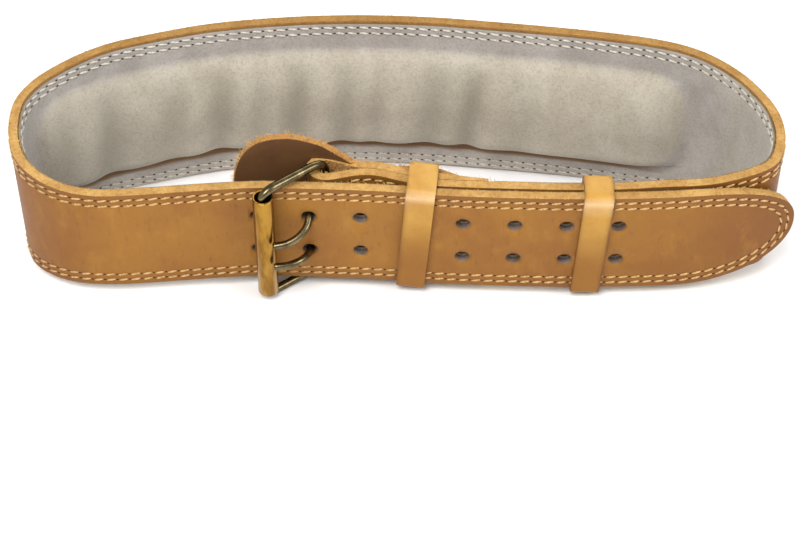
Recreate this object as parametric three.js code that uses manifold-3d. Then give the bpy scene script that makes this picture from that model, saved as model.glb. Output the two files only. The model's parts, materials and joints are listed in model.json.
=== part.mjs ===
// Weightlifting belt: a wide leather strap with a suede lining and a padded back, closed by a roller buckle
// with two prongs. Millimetres.
//
// The belt is laid out with its strap upright and the strap's middle line in the plane z = 0: x runs to the
// right, y from the buckle to the back, and the loop's middle is the origin. It is then tipped forward until it
// stands on the back's lower edge and on the buckle, and moved to stand on z = 0 above its middle.

import * as THREE from 'three';
import { mergeVertices } from 'three/addons/utils/BufferGeometryUtils.js';
import Module from 'manifold-3d';

const wasm = await Module();
wasm.setup();

// Strap
const loopWidth = 376;
const loopDepth = 109.6;
const backHeight = 100;
const frontHeight = 63;
const taperStart = 130;
const taperEnd = 275;
const taperShift = 6;
const leather = 4.4;
const tipBend = 187;
const tipLength = 60;
const tipPower = 2.2;
const tipMargin = 88.6;

// Lining and pad
const lining = 1;
const liningInset = 1;
const padLength = 347;
const padHeight = 64;
const padRise = 2;
const padShift = 21;
const padDepth = 11;
const padRoll = 16;
const padFoamInset = 3;

// Holes for the prongs
const holeColumns = 8;
const holePitch = 24.8;
const holeSpread = 23.2;
const holeWidth = 7;
const prongReach = 7.4;

// Folded end that holds the buckle, with distances along the strap from the buckle's bar
const barLeft = 34.4;
const eyeRadius = 6.6;
const neckReach = 24.4;
const foldReach = 79.4;
const liningReach = 82;
const skiveLength = 28;
const skiveEdge = 1.4;
const slotWidth = 5.6;

// Buckle
const frameWire = 4.5;
const frameHeight = 72;
const frameCorner = 7;
const rollerLeft = 28.1;
const rollerOut = 22.6;
const rollerWidth = 10;
const rollerWall = 1;
const rollerHeight = 66;
const prongWire = 3.4;
const prongCurl = 265;
const prongLeave = 165;
const prongSeat = -53;

// Guard behind the buckle
const guard = 3.8;
const guardReach = 87.9;
const guardOverhang = 44;
const guardNeckHeight = 59;
const guardPaddleHeight = 84;
const guardPaddleRise = 3.5;
const guardFlareStart = 27;
const guardFlareEnd = -19;
const guardRound = 25;

// Keepers
const keeperLeather = 2.3;
const keeperWidth = 14;
const keeperCorner = 1.6;
const keeperSlack = 0.8;
const fixedKeeperReach = 44.2;
const fixedKeeperLean = 4.2;
const slidingKeeperReach = 129;
const slidingKeeperLean = 3;

// Rivets
const rivetReaches = [27.8, 73.1];
const rivetSpread = 34;
const rivetHead = 11;
const rivetShank = 5;
const rivetBore = 3;
const rivetHeadDepth = 1.1;
const rivetCapDepth = 0.7;
const rivetSink = 0.9;

// Fits
const seatGap = 0.3;
const lapGap = 0.4;
const foamGap = 0.8;
const floorPress = 0.8;

// How finely the bends are cut
const bendError = 0.08;
const longestStep = 16;
const shortestStep = 1.6;
const wireSides = 8;
const holeSides = 10;
const rivetSides = 12;
const rollerSides = 16;
const frameSteps = 60;
const prongSteps = 26;
const endSteps = 8;
const searchSteps = 1200;

// Plan of the loop's leather along its middle line, as shares of its half width and its half depth, in order
// from the right end round the back to the left end
const backPlan = [
  { across: 0.966, along: -0.646 },
  { across: 0.992, along: -0.485 },
  { across: 1.0, along: -0.285 },
  { across: 0.986, along: -0.06 },
  { across: 0.938, along: 0.2 },
  { across: 0.874, along: 0.405 },
  { across: 0.793, along: 0.562 },
  { across: 0.657, along: 0.69 },
  { across: 0.493, along: 0.795 },
  { across: 0.291, along: 0.89 },
  { across: 0.0915, along: 0.971 },
  { across: -0.113, along: 1.0 },
  { across: -0.312, along: 0.966 },
  { across: -0.511, along: 0.869 },
  { across: -0.646, along: 0.738 },
  { across: -0.775, along: 0.586 },
];
const leftPlan = [
  { across: -0.888, along: 0.372 },
  { across: -0.95, along: 0.2 },
  { across: -0.986, along: 0.01 },
  { across: -0.995, along: -0.2 },
  { across: -0.99, along: -0.399 },
  { across: -0.962, along: -0.643 },
  { across: -0.904, along: -0.829 },
  { across: -0.834, along: -0.932 },
];

// The tongue along the front, the outermost layer, from the left end to where its tip bends in
const tonguePlan = [
  { across: -0.753, along: -0.966 },
  { across: -0.624, along: -0.937 },
  { across: -0.501, along: -0.897 },
  { across: -0.366, along: -0.861 },
  { across: -0.194, along: -0.876 },
  { across: -0.032, along: -0.905 },
  { across: 0.129, along: -0.958 },
  { across: 0.28, along: -0.983 },
  { across: 0.441, along: -1.0 },
  { across: 0.64, along: -0.99 },
];

// How far the folded end stands back from the tongue, and how far its rear leg stands off its front leg, by
// the distance from the bar: distances as shares of the neck's reach, the rest as shares of the eye's radius
const neckEnd = 2.3;
const neckPlan = [
  { reach: 0, back: 0, open: 1.3 },
  { reach: 0.34, back: 0.29, open: 0.86 },
  { reach: 0.67, back: 0.6, open: 0.14 },
  { reach: 1, back: 0.64, open: 0 },
  { reach: 1.41, back: 0.3, open: 0 },
  { reach: 1.82, back: 0.04, open: 0 },
  { reach: neckEnd, back: 0, open: 0 },
  { reach: 5.7, back: 0, open: 0 },
  { reach: 6.7, back: 0.16, open: 0 },
  { reach: 7.9, back: 0.02, open: 0 },
];

// Where the guard's free end hangs, as shares of its overhang and of the depth at which it passes the eye
const guardLean = [
  { reach: -1, depth: 0.86 },
  { reach: -0.7, depth: 0.9 },
  { reach: -0.42, depth: 0.95 },
  { reach: -0.14, depth: 1 },
];

// Each prong's curve from its hole to its tip, as shares of the way left and the way out to the tip
const prongPlan = [
  { left: 0.02, out: 0.3 },
  { left: 0.22, out: 0.64 },
  { left: 0.58, out: 0.9 },
];

// How far each prong's tip leans up or down from its hole
const prongs = [
  { name: 'prong_upper', side: 1, lean: -7 },
  { name: 'prong_lower', side: -1, lean: 1.5 },
];

// Vertical swells in the pad: their middles as shares of its half length, their heights as shares of its depth
const padSwells = [
  { along: 0.86, height: 0.1 },
  { along: 0.48, height: 0.12 },
  { along: 0.2, height: 0.1 },
  { along: -0.03, height: 0.1 },
  { along: -0.31, height: 0.12 },
  { along: -0.62, height: 0.06 },
];
const padSwellWidth = 13;

// Rows across the foam and across the guard, as shares of their heights
const padRows = [0, 0.16, 0.84, 1];
const guardRowShares = [-1, -0.5, 0, 0.5, 1];

const lapStep = leather + lining + seatGap + lapGap;
const legStep = leather + seatGap;
const halfWidth = (loopWidth - leather) / 2;
const halfDepth = (loopDepth - leather) / 2;
const barDepth = lapStep + eyeRadius;

// Leather and metal finishes
const finishes = {
  grain: new THREE.MeshStandardMaterial({ color: 0xb57f46, roughness: 0.55, metalness: 0 }),
  suede: new THREE.MeshStandardMaterial({ color: 0xa59b8a, roughness: 0.95, metalness: 0 }),
  foam: new THREE.MeshStandardMaterial({ color: 0xd8d2c4, roughness: 0.9, metalness: 0 }),
  guard: new THREE.MeshStandardMaterial({ color: 0x8a6240, roughness: 0.7, metalness: 0 }),
  keeper: new THREE.MeshStandardMaterial({ color: 0xc89646, roughness: 0.45, metalness: 0 }),
  bronze: new THREE.MeshStandardMaterial({ color: 0x7a6a50, roughness: 0.3, metalness: 1 }),
  brass: new THREE.MeshStandardMaterial({ color: 0xb08232, roughness: 0.3, metalness: 1 }),
};

// Straight-line reading of a table between its rows, held level past its ends
function readTable(rows, column, at) {
  if (at <= rows[0].reach) return rows[0][column];
  for (let i = 1; i < rows.length; i += 1) {
    if (at <= rows[i].reach) {
      const share = (at - rows[i - 1].reach) / (rows[i].reach - rows[i - 1].reach);
      return rows[i - 1][column] + share * (rows[i][column] - rows[i - 1][column]);
    }
  }
  return rows[rows.length - 1][column];
}

function planPoint(row) {
  return new THREE.Vector3(row.across * halfWidth, row.along * halfDepth, 0);
}

function smoothLine(points) {
  const line = new THREE.CatmullRomCurve3(points, false, 'centripetal');
  line.arcLengthDivisions = 3000;
  return line;
}

// A place on a line: its point, its direction, and the outward side, which is on the right of the direction
function placeOn(line, distance) {
  const share = THREE.MathUtils.clamp(distance / line.getLength(), 0, 1);
  const point = line.getPointAt(share);
  const along = line.getTangentAt(share);
  return { distance, point, along, out: new THREE.Vector3(along.y, -along.x, 0) };
}

// Distance along a line, between two limits, at which it passes closest to a point
function distanceNear(line, target, from, to) {
  let best = from;
  let least = Infinity;
  for (let i = 0; i <= searchSteps; i += 1) {
    const distance = from + ((to - from) * i) / searchSteps;
    const gap = line.getPointAt(distance / line.getLength()).distanceTo(target);
    if (gap < least) {
      least = gap;
      best = distance;
    }
  }
  return best;
}

// The tongue's tip bends inward on one arc, drawn past the tip's own place
function tipRows() {
  const start = planPoint(tonguePlan[tonguePlan.length - 1]);
  const rows = [];
  const turnStep = 0.12;
  const lastTurn = 0.8;
  for (let turn = turnStep; turn < lastTurn; turn += turnStep) {
    const x = start.x + tipBend * Math.sin(turn);
    const y = start.y + tipBend * (1 - Math.cos(turn));
    rows.push(new THREE.Vector3(x, y, 0));
  }
  return rows;
}

const tongueRows = [...leftPlan.map(planPoint), ...tonguePlan.map(planPoint), ...tipRows()];
const tongueLine = smoothLine(tongueRows);

// Along the tongue, the bar's place is where the line passes it on its way right
function tongueDistanceAtBar() {
  const length = tongueLine.getLength();
  for (let i = 0; i <= searchSteps; i += 1) {
    const point = tongueLine.getPointAt(i / searchSteps);
    if (point.y < 0 && point.x >= -barLeft) return (length * i) / searchSteps;
  }
  return 0;
}
const barDistance = tongueDistanceAtBar();

// A place in the overlap, by its reach along the tongue from the bar and its depth behind the tongue's middle
function lapPlace(reach, depth) {
  const place = placeOn(tongueLine, barDistance + reach);
  place.point.addScaledVector(place.out, -depth);
  return place;
}

// The strap under the tongue, from the bar to where it leaves the tongue at the right end
function frontLegRows() {
  const rowStep = 9;
  const last = neckReach * neckPlan[neckPlan.length - 1].reach;
  const reaches = neckPlan.filter((row) => row.reach < neckEnd).map((row) => row.reach * neckReach);
  for (let reach = neckEnd * neckReach; reach < last; reach += rowStep) reaches.push(reach);
  return reaches.map((reach) => {
    const back = eyeRadius * readTable(neckPlan, 'back', reach / neckReach);
    return lapPlace(reach, lapStep + back).point;
  });
}
const frontLegLine = smoothLine(frontLegRows());

function frontLegPlace(reach) {
  return placeOn(frontLegLine, reach);
}

// The rear leg lies against the front leg, and stands off it near the eye
function rearLegPlace(reach) {
  const place = frontLegPlace(reach);
  const open = eyeRadius * readTable(neckPlan, 'open', reach / neckReach);
  place.point.addScaledVector(place.out, -legStep - open);
  return place;
}

function skivedLeather(fromEdge) {
  return Math.min(leather, skiveEdge + ((leather - skiveEdge) * fromEdge) / skiveLength);
}

// The strap's middle line: rear leg, eye round the bar, front leg, right end, back, left end and tongue
function strapRows() {
  const rows = [];
  const rowStep = 7;
  for (let reach = foldReach; reach > neckReach + rowStep / 2; reach -= rowStep) {
    rows.push(rearLegPlace(reach).point);
  }
  const neckRows = neckPlan.filter((row) => row.reach > 0 && row.reach <= 1);
  for (const row of neckRows.reverse()) rows.push(rearLegPlace(row.reach * neckReach).point);
  const bar = lapPlace(0, barDepth);
  for (const degrees of [90, 54, 18, -18, -54]) {
    const turn = THREE.MathUtils.degToRad(degrees);
    const point = bar.point.clone();
    point.addScaledVector(bar.along, -eyeRadius * Math.cos(turn));
    point.addScaledVector(bar.out, -eyeRadius * Math.sin(turn));
    rows.push(point);
  }
  rows.push(...frontLegRows(), ...backPlan.map(planPoint), ...tongueRows);
  return rows;
}
const strapLine = smoothLine(strapRows());

// Distances along the strap of the places that its pieces are set out from
const strapSpan = strapLine.getLength();
const eyeLeft = lapPlace(0, barDepth);
eyeLeft.point.addScaledVector(eyeLeft.along, -eyeRadius);
const eyeDistance = distanceNear(strapLine, eyeLeft.point, 0, foldReach * 2);
const backDistance = distanceNear(strapLine, new THREE.Vector3(0, halfDepth, 0), strapSpan * 0.2, strapSpan * 0.7);
const tongueBarDistance = distanceNear(strapLine, lapPlace(0, 0).point, strapSpan * 0.5, strapSpan);
const prongHoleDistance = tongueBarDistance - prongReach;
const tipDistance = prongHoleDistance + (holeColumns - 2) * holePitch + tipMargin;
const liningDistance = distanceNear(
  strapLine,
  frontLegPlace(liningReach).point,
  eyeDistance + liningReach / 2,
  eyeDistance + liningReach * 2,
);

// Half the strap's height: full behind the back, narrow along the front, rounded at the tip
function strapHalfHeight(distance) {
  const fromBack = Math.abs(distance - backDistance - taperShift);
  const narrowed = THREE.MathUtils.smoothstep(fromBack, taperStart, taperEnd);
  const height = THREE.MathUtils.lerp(backHeight, frontHeight, narrowed) / 2;
  const fromTip = tipDistance - distance;
  if (fromTip >= tipLength) return height;
  return height * Math.pow(1 - Math.pow(1 - fromTip / tipLength, tipPower), 1 / tipPower);
}

// How far a line strays from the straight chord between two distances along it
function chordError(line, from, to) {
  const start = placeOn(line, from).point;
  const chord = new THREE.Line3(start, placeOn(line, to).point);
  const nearest = new THREE.Vector3();
  let error = 0;
  for (const share of [0.25, 0.5, 0.75]) {
    const { point } = placeOn(line, THREE.MathUtils.lerp(from, to, share));
    chord.closestPointToPoint(point, true, nearest);
    error = Math.max(error, point.distanceTo(nearest));
  }
  return error;
}

// Places along a line, closer together where it bends
function placesAlong(line, from, to) {
  const places = [];
  let distance = from;
  while (distance < to) {
    places.push(placeOn(line, distance));
    let step = longestStep;
    while (step > shortestStep && chordError(line, distance, distance + step) > bendError) step *= 0.85;
    distance += step;
    if (distance > to - shortestStep) distance = to;
  }
  places.push(placeOn(line, to));
  return places;
}

// Places toward a rounded end, closer together as it narrows
function roundedEnd(line, end, length, direction) {
  const least = 0.3;
  const places = [];
  for (let i = endSteps; i >= 0; i -= 1) {
    const fromEnd = least + (length - least) * Math.pow(i / endSteps, 2);
    places.push(placeOn(line, end - direction * fromEnd));
  }
  return places;
}

// A sheet bent along its places: its heights at a place, from the lower edge to the upper one, and its faces by
// their distances on the outward side
function bentSheet(places, heightsAt, outerFace, innerFace) {
  const rows = heightsAt(places[0].distance).length - 1;
  const sheet = new THREE.BoxGeometry(1, 1, 1, places.length - 1, rows, 1);
  const corners = sheet.getAttribute('position');
  for (let i = 0; i < corners.count; i += 1) {
    const place = places[Math.round((corners.getX(i) + 0.5) * (places.length - 1))];
    const z = heightsAt(place.distance)[Math.round((corners.getY(i) + 0.5) * rows)];
    const face = corners.getZ(i) > 0 ? outerFace : innerFace;
    const point = place.point.clone().addScaledVector(place.out, face(place.distance, z));
    corners.setXYZ(i, point.x, point.y, z);
  }
  return sheet;
}

function solidFrom(geometry) {
  const bare = geometry.clone();
  bare.deleteAttribute('normal');
  bare.deleteAttribute('uv');
  const merged = mergeVertices(bare, 1e-4);
  return new wasm.Manifold(
    new wasm.Mesh({
      numProp: 3,
      vertProperties: new Float32Array(merged.getAttribute('position').array),
      triVerts: new Uint32Array(merged.index.array),
    }),
  );
}

function geometryFrom(solid) {
  const mesh = solid.getMesh();
  const geometry = new THREE.BufferGeometry();
  geometry.setAttribute('position', new THREE.BufferAttribute(new Float32Array(mesh.vertProperties), 3));
  geometry.setIndex(new THREE.BufferAttribute(new Uint32Array(mesh.triVerts), 1));
  return geometry;
}

function cutAway(geometry, cutters) {
  let solid = solidFrom(geometry);
  for (const cutter of cutters) solid = solid.subtract(solidFrom(cutter));
  return geometryFrom(solid);
}

// A round cutter at a place, along its outward side, between two distances on that side
function roundCutter(place, z, radius, from, to) {
  const cutter = new THREE.CylinderGeometry(radius, radius, to - from, holeSides);
  const turn = new THREE.Quaternion().setFromUnitVectors(new THREE.Vector3(0, 1, 0), place.out);
  cutter.applyQuaternion(turn);
  const middle = place.point.clone().addScaledVector(place.out, (from + to) / 2);
  cutter.translate(middle.x, middle.y, z);
  return cutter;
}

function holePlaces() {
  const places = [];
  for (let column = 0; column < holeColumns; column += 1) {
    places.push(placeOn(strapLine, prongHoleDistance + (column - 1) * holePitch));
  }
  return places;
}

function holeCutters(from, to) {
  const cutters = [];
  for (const place of holePlaces()) {
    for (const side of [-1, 1]) {
      cutters.push(roundCutter(place, (side * holeSpread) / 2, holeWidth / 2, from, to));
    }
  }
  return cutters;
}

const strapPlaces = [
  ...placesAlong(strapLine, 0, tipDistance - tipLength).slice(0, -1),
  ...roundedEnd(strapLine, tipDistance, tipLength, 1),
];

// Two slots in the eye that let the prongs swing round the bar
function slotCutters() {
  const bar = lapPlace(0, barDepth);
  const curlRadius = frameWire / 2 + seatGap + prongWire;
  const left = eyeRadius + leather;
  const right = curlRadius + seatGap;
  const outward = eyeRadius + leather / 2 + seatGap;
  const cutters = [];
  for (const side of [-1, 1]) {
    const slot = new THREE.BoxGeometry(left + right, outward * 2, slotWidth);
    slot.translate((right - left) / 2, 0, (side * holeSpread) / 2);
    slot.rotateZ(Math.atan2(bar.along.y, bar.along.x));
    slot.translate(bar.point.x, bar.point.y, 0);
    cutters.push(slot);
  }
  return cutters;
}

// Rivet holes through both legs of the fold, with a seat for each cap in the front leg's outer face
function rivetCutters() {
  const cutters = [];
  const behind = -legStep - leather / 2 - seatGap;
  const face = leather / 2 + seatGap / 2;
  const seat = leather / 2 - rivetCapDepth - seatGap;
  for (const reach of rivetReaches) {
    for (const side of [-1, 1]) {
      const z = (side * rivetSpread) / 2;
      cutters.push(roundCutter(frontLegPlace(reach), z, rivetShank / 2 + seatGap, behind, face));
      cutters.push(roundCutter(frontLegPlace(reach), z, rivetHead / 2 + seatGap, seat, face));
    }
  }
  return cutters;
}

function strapLeather() {
  const heights = (distance) => [-strapHalfHeight(distance), strapHalfHeight(distance)];
  const outer = (distance) => skivedLeather(distance) - leather / 2;
  const inner = () => -leather / 2;
  const sheet = bentSheet(strapPlaces, heights, outer, inner);
  const behind = -leather / 2 - seatGap / 2;
  return cutAway(sheet, [...holeCutters(behind, leather), ...slotCutters(), ...rivetCutters()]);
}

// The pad's swell at a place on the strap: rolled down to nothing at its edges, with soft upright waves
function edgeRoll(fromMiddle, half) {
  const share = THREE.MathUtils.clamp((half - Math.abs(fromMiddle)) / padRoll, 0, 1);
  return Math.sqrt(1 - Math.pow(1 - share, 2));
}

function padSwell(distance, z) {
  const along = distance - backDistance - padShift;
  const roll = edgeRoll(along, padLength / 2) * edgeRoll(z - padRise, padHeight / 2);
  let waves = 0;
  for (const swell of padSwells) {
    const away = (along - (swell.along * padLength) / 2) / padSwellWidth;
    waves += swell.height * Math.exp(-away * away);
  }
  return padDepth * roll * (1 + waves);
}

const liningBack = leather / 2 + seatGap;

// Heights of the rows that the lining and the foam share where the foam lies
function padHeights() {
  const low = padRise - padHeight / 2 + padFoamInset;
  const high = padRise + padHeight / 2 - padFoamInset;
  return padRows.map((share) => THREE.MathUtils.lerp(low, high, share));
}

function suedeLining() {
  const places = strapPlaces.filter((place) => place.distance > liningDistance);
  places.unshift(placeOn(strapLine, liningDistance));
  const low = padRise - padHeight / 2;
  const high = padRise + padHeight / 2;
  const heights = (distance) => {
    const half = Math.max(strapHalfHeight(distance) - liningInset, liningInset);
    const fit = Math.min(1, half / (high + padFoamInset));
    const inner = [low, ...padHeights(), high].map((height) => height * fit);
    return [-half, ...inner, half];
  };
  const outer = (distance, z) => -liningBack - padSwell(distance, z);
  const inner = (distance, z) => outer(distance, z) - lining;
  const sheet = bentSheet(places, heights, outer, inner);
  return cutAway(sheet, holeCutters(-liningBack - lining * 2, -leather / 2));
}

// The foam fills the swell up to a little inside its edges
function lumbarPad() {
  const middle = backDistance + padShift;
  const half = padLength / 2 - padFoamInset;
  const places = strapPlaces.filter((place) => Math.abs(place.distance - middle) < half);
  const outer = () => -liningBack;
  const inner = (distance, z) => -liningBack - padSwell(distance, z) + foamGap;
  return bentSheet(places, padHeights, outer, inner);
}

// How far the layers that a keeper holds stand out from the tongue's middle, or back from it, across its width
function keeperClearance(reach, lean, placeAt, cover, direction) {
  const middle = lapPlace(reach, 0);
  const strapHalf = strapHalfHeight(tongueBarDistance + reach);
  const span = keeperWidth / 2 + strapHalf * Math.tan(THREE.MathUtils.degToRad(lean));
  let farthest = 0;
  for (const side of [-1, -0.5, 0, 0.5, 1]) {
    const place = placeAt(reach + side * span);
    const face = place.point.clone().addScaledVector(place.out, direction * cover);
    farthest = Math.max(farthest, face.sub(middle.point).dot(middle.out) * direction);
  }
  return farthest + seatGap;
}

function tonguePlace(reach) {
  return lapPlace(reach, 0);
}

// A keeper's place, and how far its inside stands in front of the tongue's middle and behind it
function keeperPlan(name, reach, lean, lastPlace, cover) {
  const front = keeperClearance(reach, lean, tonguePlace, leather / 2, 1);
  const back = keeperClearance(reach, lean, lastPlace, cover, -1);
  return { name, reach, lean, front, back };
}

// The fixed keeper holds the tongue and both legs of the fold, the sliding one the tongue and the lined strap
const fixedKeeper = keeperPlan('keeper_fixed', fixedKeeperReach, fixedKeeperLean, rearLegPlace, leather / 2);
const slidingKeeper = keeperPlan(
  'keeper_sliding',
  slidingKeeperReach,
  slidingKeeperLean,
  frontLegPlace,
  liningBack + lining,
);

// The guard lies on the rear leg and over the fixed keeper, covers the lining's end, and hangs free past the eye
function guardRows() {
  const half = lapGap + guard / 2;
  const rows = [];
  for (const row of guardLean) {
    const depth = row.depth * (barDepth + eyeRadius + leather / 2 + half);
    rows.push(lapPlace(row.reach * guardOverhang, depth).point);
  }
  const onStrap = (distance) => {
    const place = placeOn(strapLine, distance);
    const face = skivedLeather(distance) - leather / 2;
    return place.point.addScaledVector(place.out, face + half);
  };
  const keeperSide = keeperWidth / 2 + guard / 2;
  const eyeRear = eyeDistance - (eyeRadius * Math.PI) / 2;
  const rowStep = 5;
  for (let reach = 0; reach < fixedKeeperReach - keeperSide - rowStep; reach += rowStep) {
    rows.push(onStrap(eyeRear - reach));
  }
  const keeperDepth = fixedKeeper.back + keeperLeather + half;
  for (const side of [-1, 0, 1]) {
    rows.push(lapPlace(fixedKeeperReach + side * keeperSide, keeperDepth).point);
  }
  for (const reach of [rivetReaches[1], foldReach]) rows.push(onStrap(eyeRear - reach));
  const end = frontLegPlace(guardReach);
  rows.push(end.point.addScaledVector(end.out, -liningBack - lining - half));
  return rows;
}
const guardLine = smoothLine(guardRows());

// The guard's edges by the distance from its rounded end: a paddle that narrows to the strap's height
function guardHeights(distance) {
  const reach = distance - guardOverhang;
  const flare = THREE.MathUtils.smoothstep(-reach, -guardFlareStart, -guardFlareEnd);
  const height = THREE.MathUtils.lerp(guardNeckHeight, guardPaddleHeight, flare);
  const beyond = THREE.MathUtils.clamp((guardFlareEnd - reach) / guardRound, 0, 0.9999);
  const half = (height / 2) * Math.sqrt(1 - beyond * beyond);
  const rise = guardPaddleRise * flare;
  return guardRowShares.map((share) => rise + half * share);
}

// Distance from a rivet's place on the front leg to the guard's middle, straight back through the layers
function guardBehind(reach) {
  const place = frontLegPlace(reach);
  let behind = 0;
  let least = Infinity;
  for (let i = 0; i <= searchSteps; i += 1) {
    const away = guardLine.getPointAt(i / searchSteps).sub(place.point);
    const aside = Math.abs(away.dot(place.along));
    if (aside < least) {
      least = aside;
      behind = -away.dot(place.out);
    }
  }
  return behind;
}

function buckleGuard() {
  const start = guardOverhang + guardFlareEnd - guardRound;
  const rounded = roundedEnd(guardLine, start, guardRound, -1);
  const straight = placesAlong(guardLine, start + guardRound, guardLine.getLength());
  const places = [...rounded.reverse(), ...straight.slice(1)];
  const sheet = bentSheet(places, guardHeights, () => guard / 2, () => -guard / 2);
  const cutters = [];
  for (const reach of rivetReaches) {
    const middle = -guardBehind(reach);
    const seat = middle - guard / 2 + rivetSink;
    for (const side of [-1, 1]) {
      const z = (side * rivetSpread) / 2;
      const place = frontLegPlace(reach);
      cutters.push(roundCutter(place, z, rivetShank / 2 + seatGap, middle - guard, middle + guard));
      cutters.push(roundCutter(place, z, rivetHead / 2 + seatGap, middle - guard, seat));
    }
  }
  return cutAway(sheet, cutters);
}

function roundedBox(path, low, high, half, corner) {
  path.moveTo(low + corner, -half);
  path.lineTo(high - corner, -half);
  path.absarc(high - corner, -half + corner, corner, -Math.PI / 2, 0, false);
  path.lineTo(high, half - corner);
  path.absarc(high - corner, half - corner, corner, 0, Math.PI / 2, false);
  path.lineTo(low + corner, half);
  path.absarc(low + corner, half - corner, corner, Math.PI / 2, Math.PI, false);
  path.lineTo(low, -half + corner);
  path.absarc(low + corner, -half + corner, corner, Math.PI, Math.PI * 1.5, false);
  return path;
}

// A keeper: a band round the overlapped layers that leans a little
function keeperBand({ name, reach, lean, front, back }) {
  const tilt = THREE.MathUtils.degToRad(lean);
  const strapHalf = strapHalfHeight(tongueBarDistance + reach);
  const half = strapHalf + (keeperWidth / 2) * Math.tan(tilt) + keeperSlack;
  const wall = keeperLeather;
  const outline = roundedBox(new THREE.Shape(), -back - wall, front + wall, half + wall, keeperCorner + wall);
  outline.holes.push(roundedBox(new THREE.Path(), -back, front, half, keeperCorner));
  const band = new THREE.ExtrudeGeometry(outline, { depth: keeperWidth, bevelEnabled: false, curveSegments: 3 });
  band.translate(0, 0, -keeperWidth / 2);
  const place = lapPlace(reach, 0);
  const up = new THREE.Vector3(0, 0, 1);
  const mesh = new THREE.Mesh(band, finishes.keeper);
  mesh.name = name;
  const axes = new THREE.Matrix4().makeBasis(place.out, up, place.out.clone().cross(up));
  mesh.quaternion.setFromRotationMatrix(axes);
  mesh.rotateX(-tilt);
  mesh.position.copy(place.point);
  return mesh;
}

// A tubular rivet: a flat cap sunk in the front leg, a shank, and a rolled head with a blind bore, pulled into
// the guard's soft back
function rivet(name, reach, z) {
  const base = guardBehind(reach) + guard / 2 - rivetSink + leather / 2 + seatGap;
  const head = rivetHead / 2;
  const shank = rivetShank / 2;
  const bore = rivetBore / 2;
  const profile = [
    new THREE.Vector2(0, 0),
    new THREE.Vector2(head, 0),
    new THREE.Vector2(head, rivetCapDepth),
    new THREE.Vector2(shank, rivetCapDepth),
    new THREE.Vector2(shank, base),
  ];
  for (const degrees of [0, 60, 120, 180]) {
    const turn = THREE.MathUtils.degToRad(degrees);
    const from = (head + bore) / 2 + ((head - bore) / 2) * Math.cos(turn);
    profile.push(new THREE.Vector2(from, base + rivetHeadDepth * Math.sin(turn)));
  }
  profile.push(new THREE.Vector2(bore, base / 2), new THREE.Vector2(0, base / 2));
  const mesh = new THREE.Mesh(new THREE.LatheGeometry(profile, rivetSides), finishes.bronze);
  mesh.name = name;
  const place = frontLegPlace(reach);
  place.point.addScaledVector(place.out, leather / 2);
  mesh.quaternion.setFromUnitVectors(new THREE.Vector3(0, 1, 0), place.out.clone().negate());
  mesh.position.set(place.point.x, place.point.y, z);
  return mesh;
}

// Round wire bent along a line, with flat ends
function bentWire(line, width, steps) {
  const section = new THREE.Shape();
  const radius = width / 2;
  for (let i = 0; i < wireSides; i += 1) {
    const turn = ((i + 0.5) * Math.PI * 2) / wireSides;
    const corner = new THREE.Vector2(radius * Math.cos(turn), radius * Math.sin(turn));
    if (i === 0) section.moveTo(corner.x, corner.y);
    else section.lineTo(corner.x, corner.y);
  }
  section.closePath();
  return new THREE.ExtrudeGeometry(section, { steps, extrudePath: line, bevelEnabled: false });
}

// The buckle is laid out about its bar: x along the strap, y to the back, z up
const rollerAxis = new THREE.Vector3(-rollerLeft, -rollerOut, 0);
const rollerPull = rollerWidth / 2 - rollerWall - frameWire / 2 - seatGap;
const frameFront = rollerAxis.clone().addScaledVector(rollerAxis.clone().normalize(), rollerPull);

// The frame's wire starts and ends inside the roller
function frameLine() {
  const half = frameHeight / 2;
  const side = frameFront.clone().normalize();
  const corner = frameCorner;
  const bar = new THREE.Vector3(0, 0, 0);
  const at = (base, out, z) => base.clone().addScaledVector(side, out).setZ(z);
  const path = new THREE.CurvePath();
  const bend = (from, elbow, to) => path.add(new THREE.QuadraticBezierCurve3(from, elbow, to));
  const run = (from, to) => path.add(new THREE.LineCurve3(from, to));
  run(at(frameFront, 0, seatGap), at(frameFront, 0, half - corner));
  bend(at(frameFront, 0, half - corner), at(frameFront, 0, half), at(frameFront, -corner, half));
  run(at(frameFront, -corner, half), at(bar, corner, half));
  bend(at(bar, corner, half), at(bar, 0, half), at(bar, 0, half - corner));
  run(at(bar, 0, half - corner), at(bar, 0, corner - half));
  bend(at(bar, 0, corner - half), at(bar, 0, -half), at(bar, corner, -half));
  run(at(bar, corner, -half), at(frameFront, -corner, -half));
  bend(at(frameFront, -corner, -half), at(frameFront, 0, -half), at(frameFront, 0, corner - half));
  run(at(frameFront, 0, corner - half), at(frameFront, 0, -seatGap));
  return path;
}

function buckleFrame() {
  return bentWire(frameLine(), frameWire, frameSteps);
}

function buckleRoller() {
  const outer = rollerWidth / 2;
  const inner = outer - rollerWall;
  const half = rollerHeight / 2;
  const profile = [
    new THREE.Vector2(inner, -half),
    new THREE.Vector2(outer, -half),
    new THREE.Vector2(outer, half),
    new THREE.Vector2(inner, half),
    new THREE.Vector2(inner, -half),
  ];
  const tube = new THREE.LatheGeometry(profile, rollerSides);
  tube.rotateX(Math.PI / 2);
  return tube;
}

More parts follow.
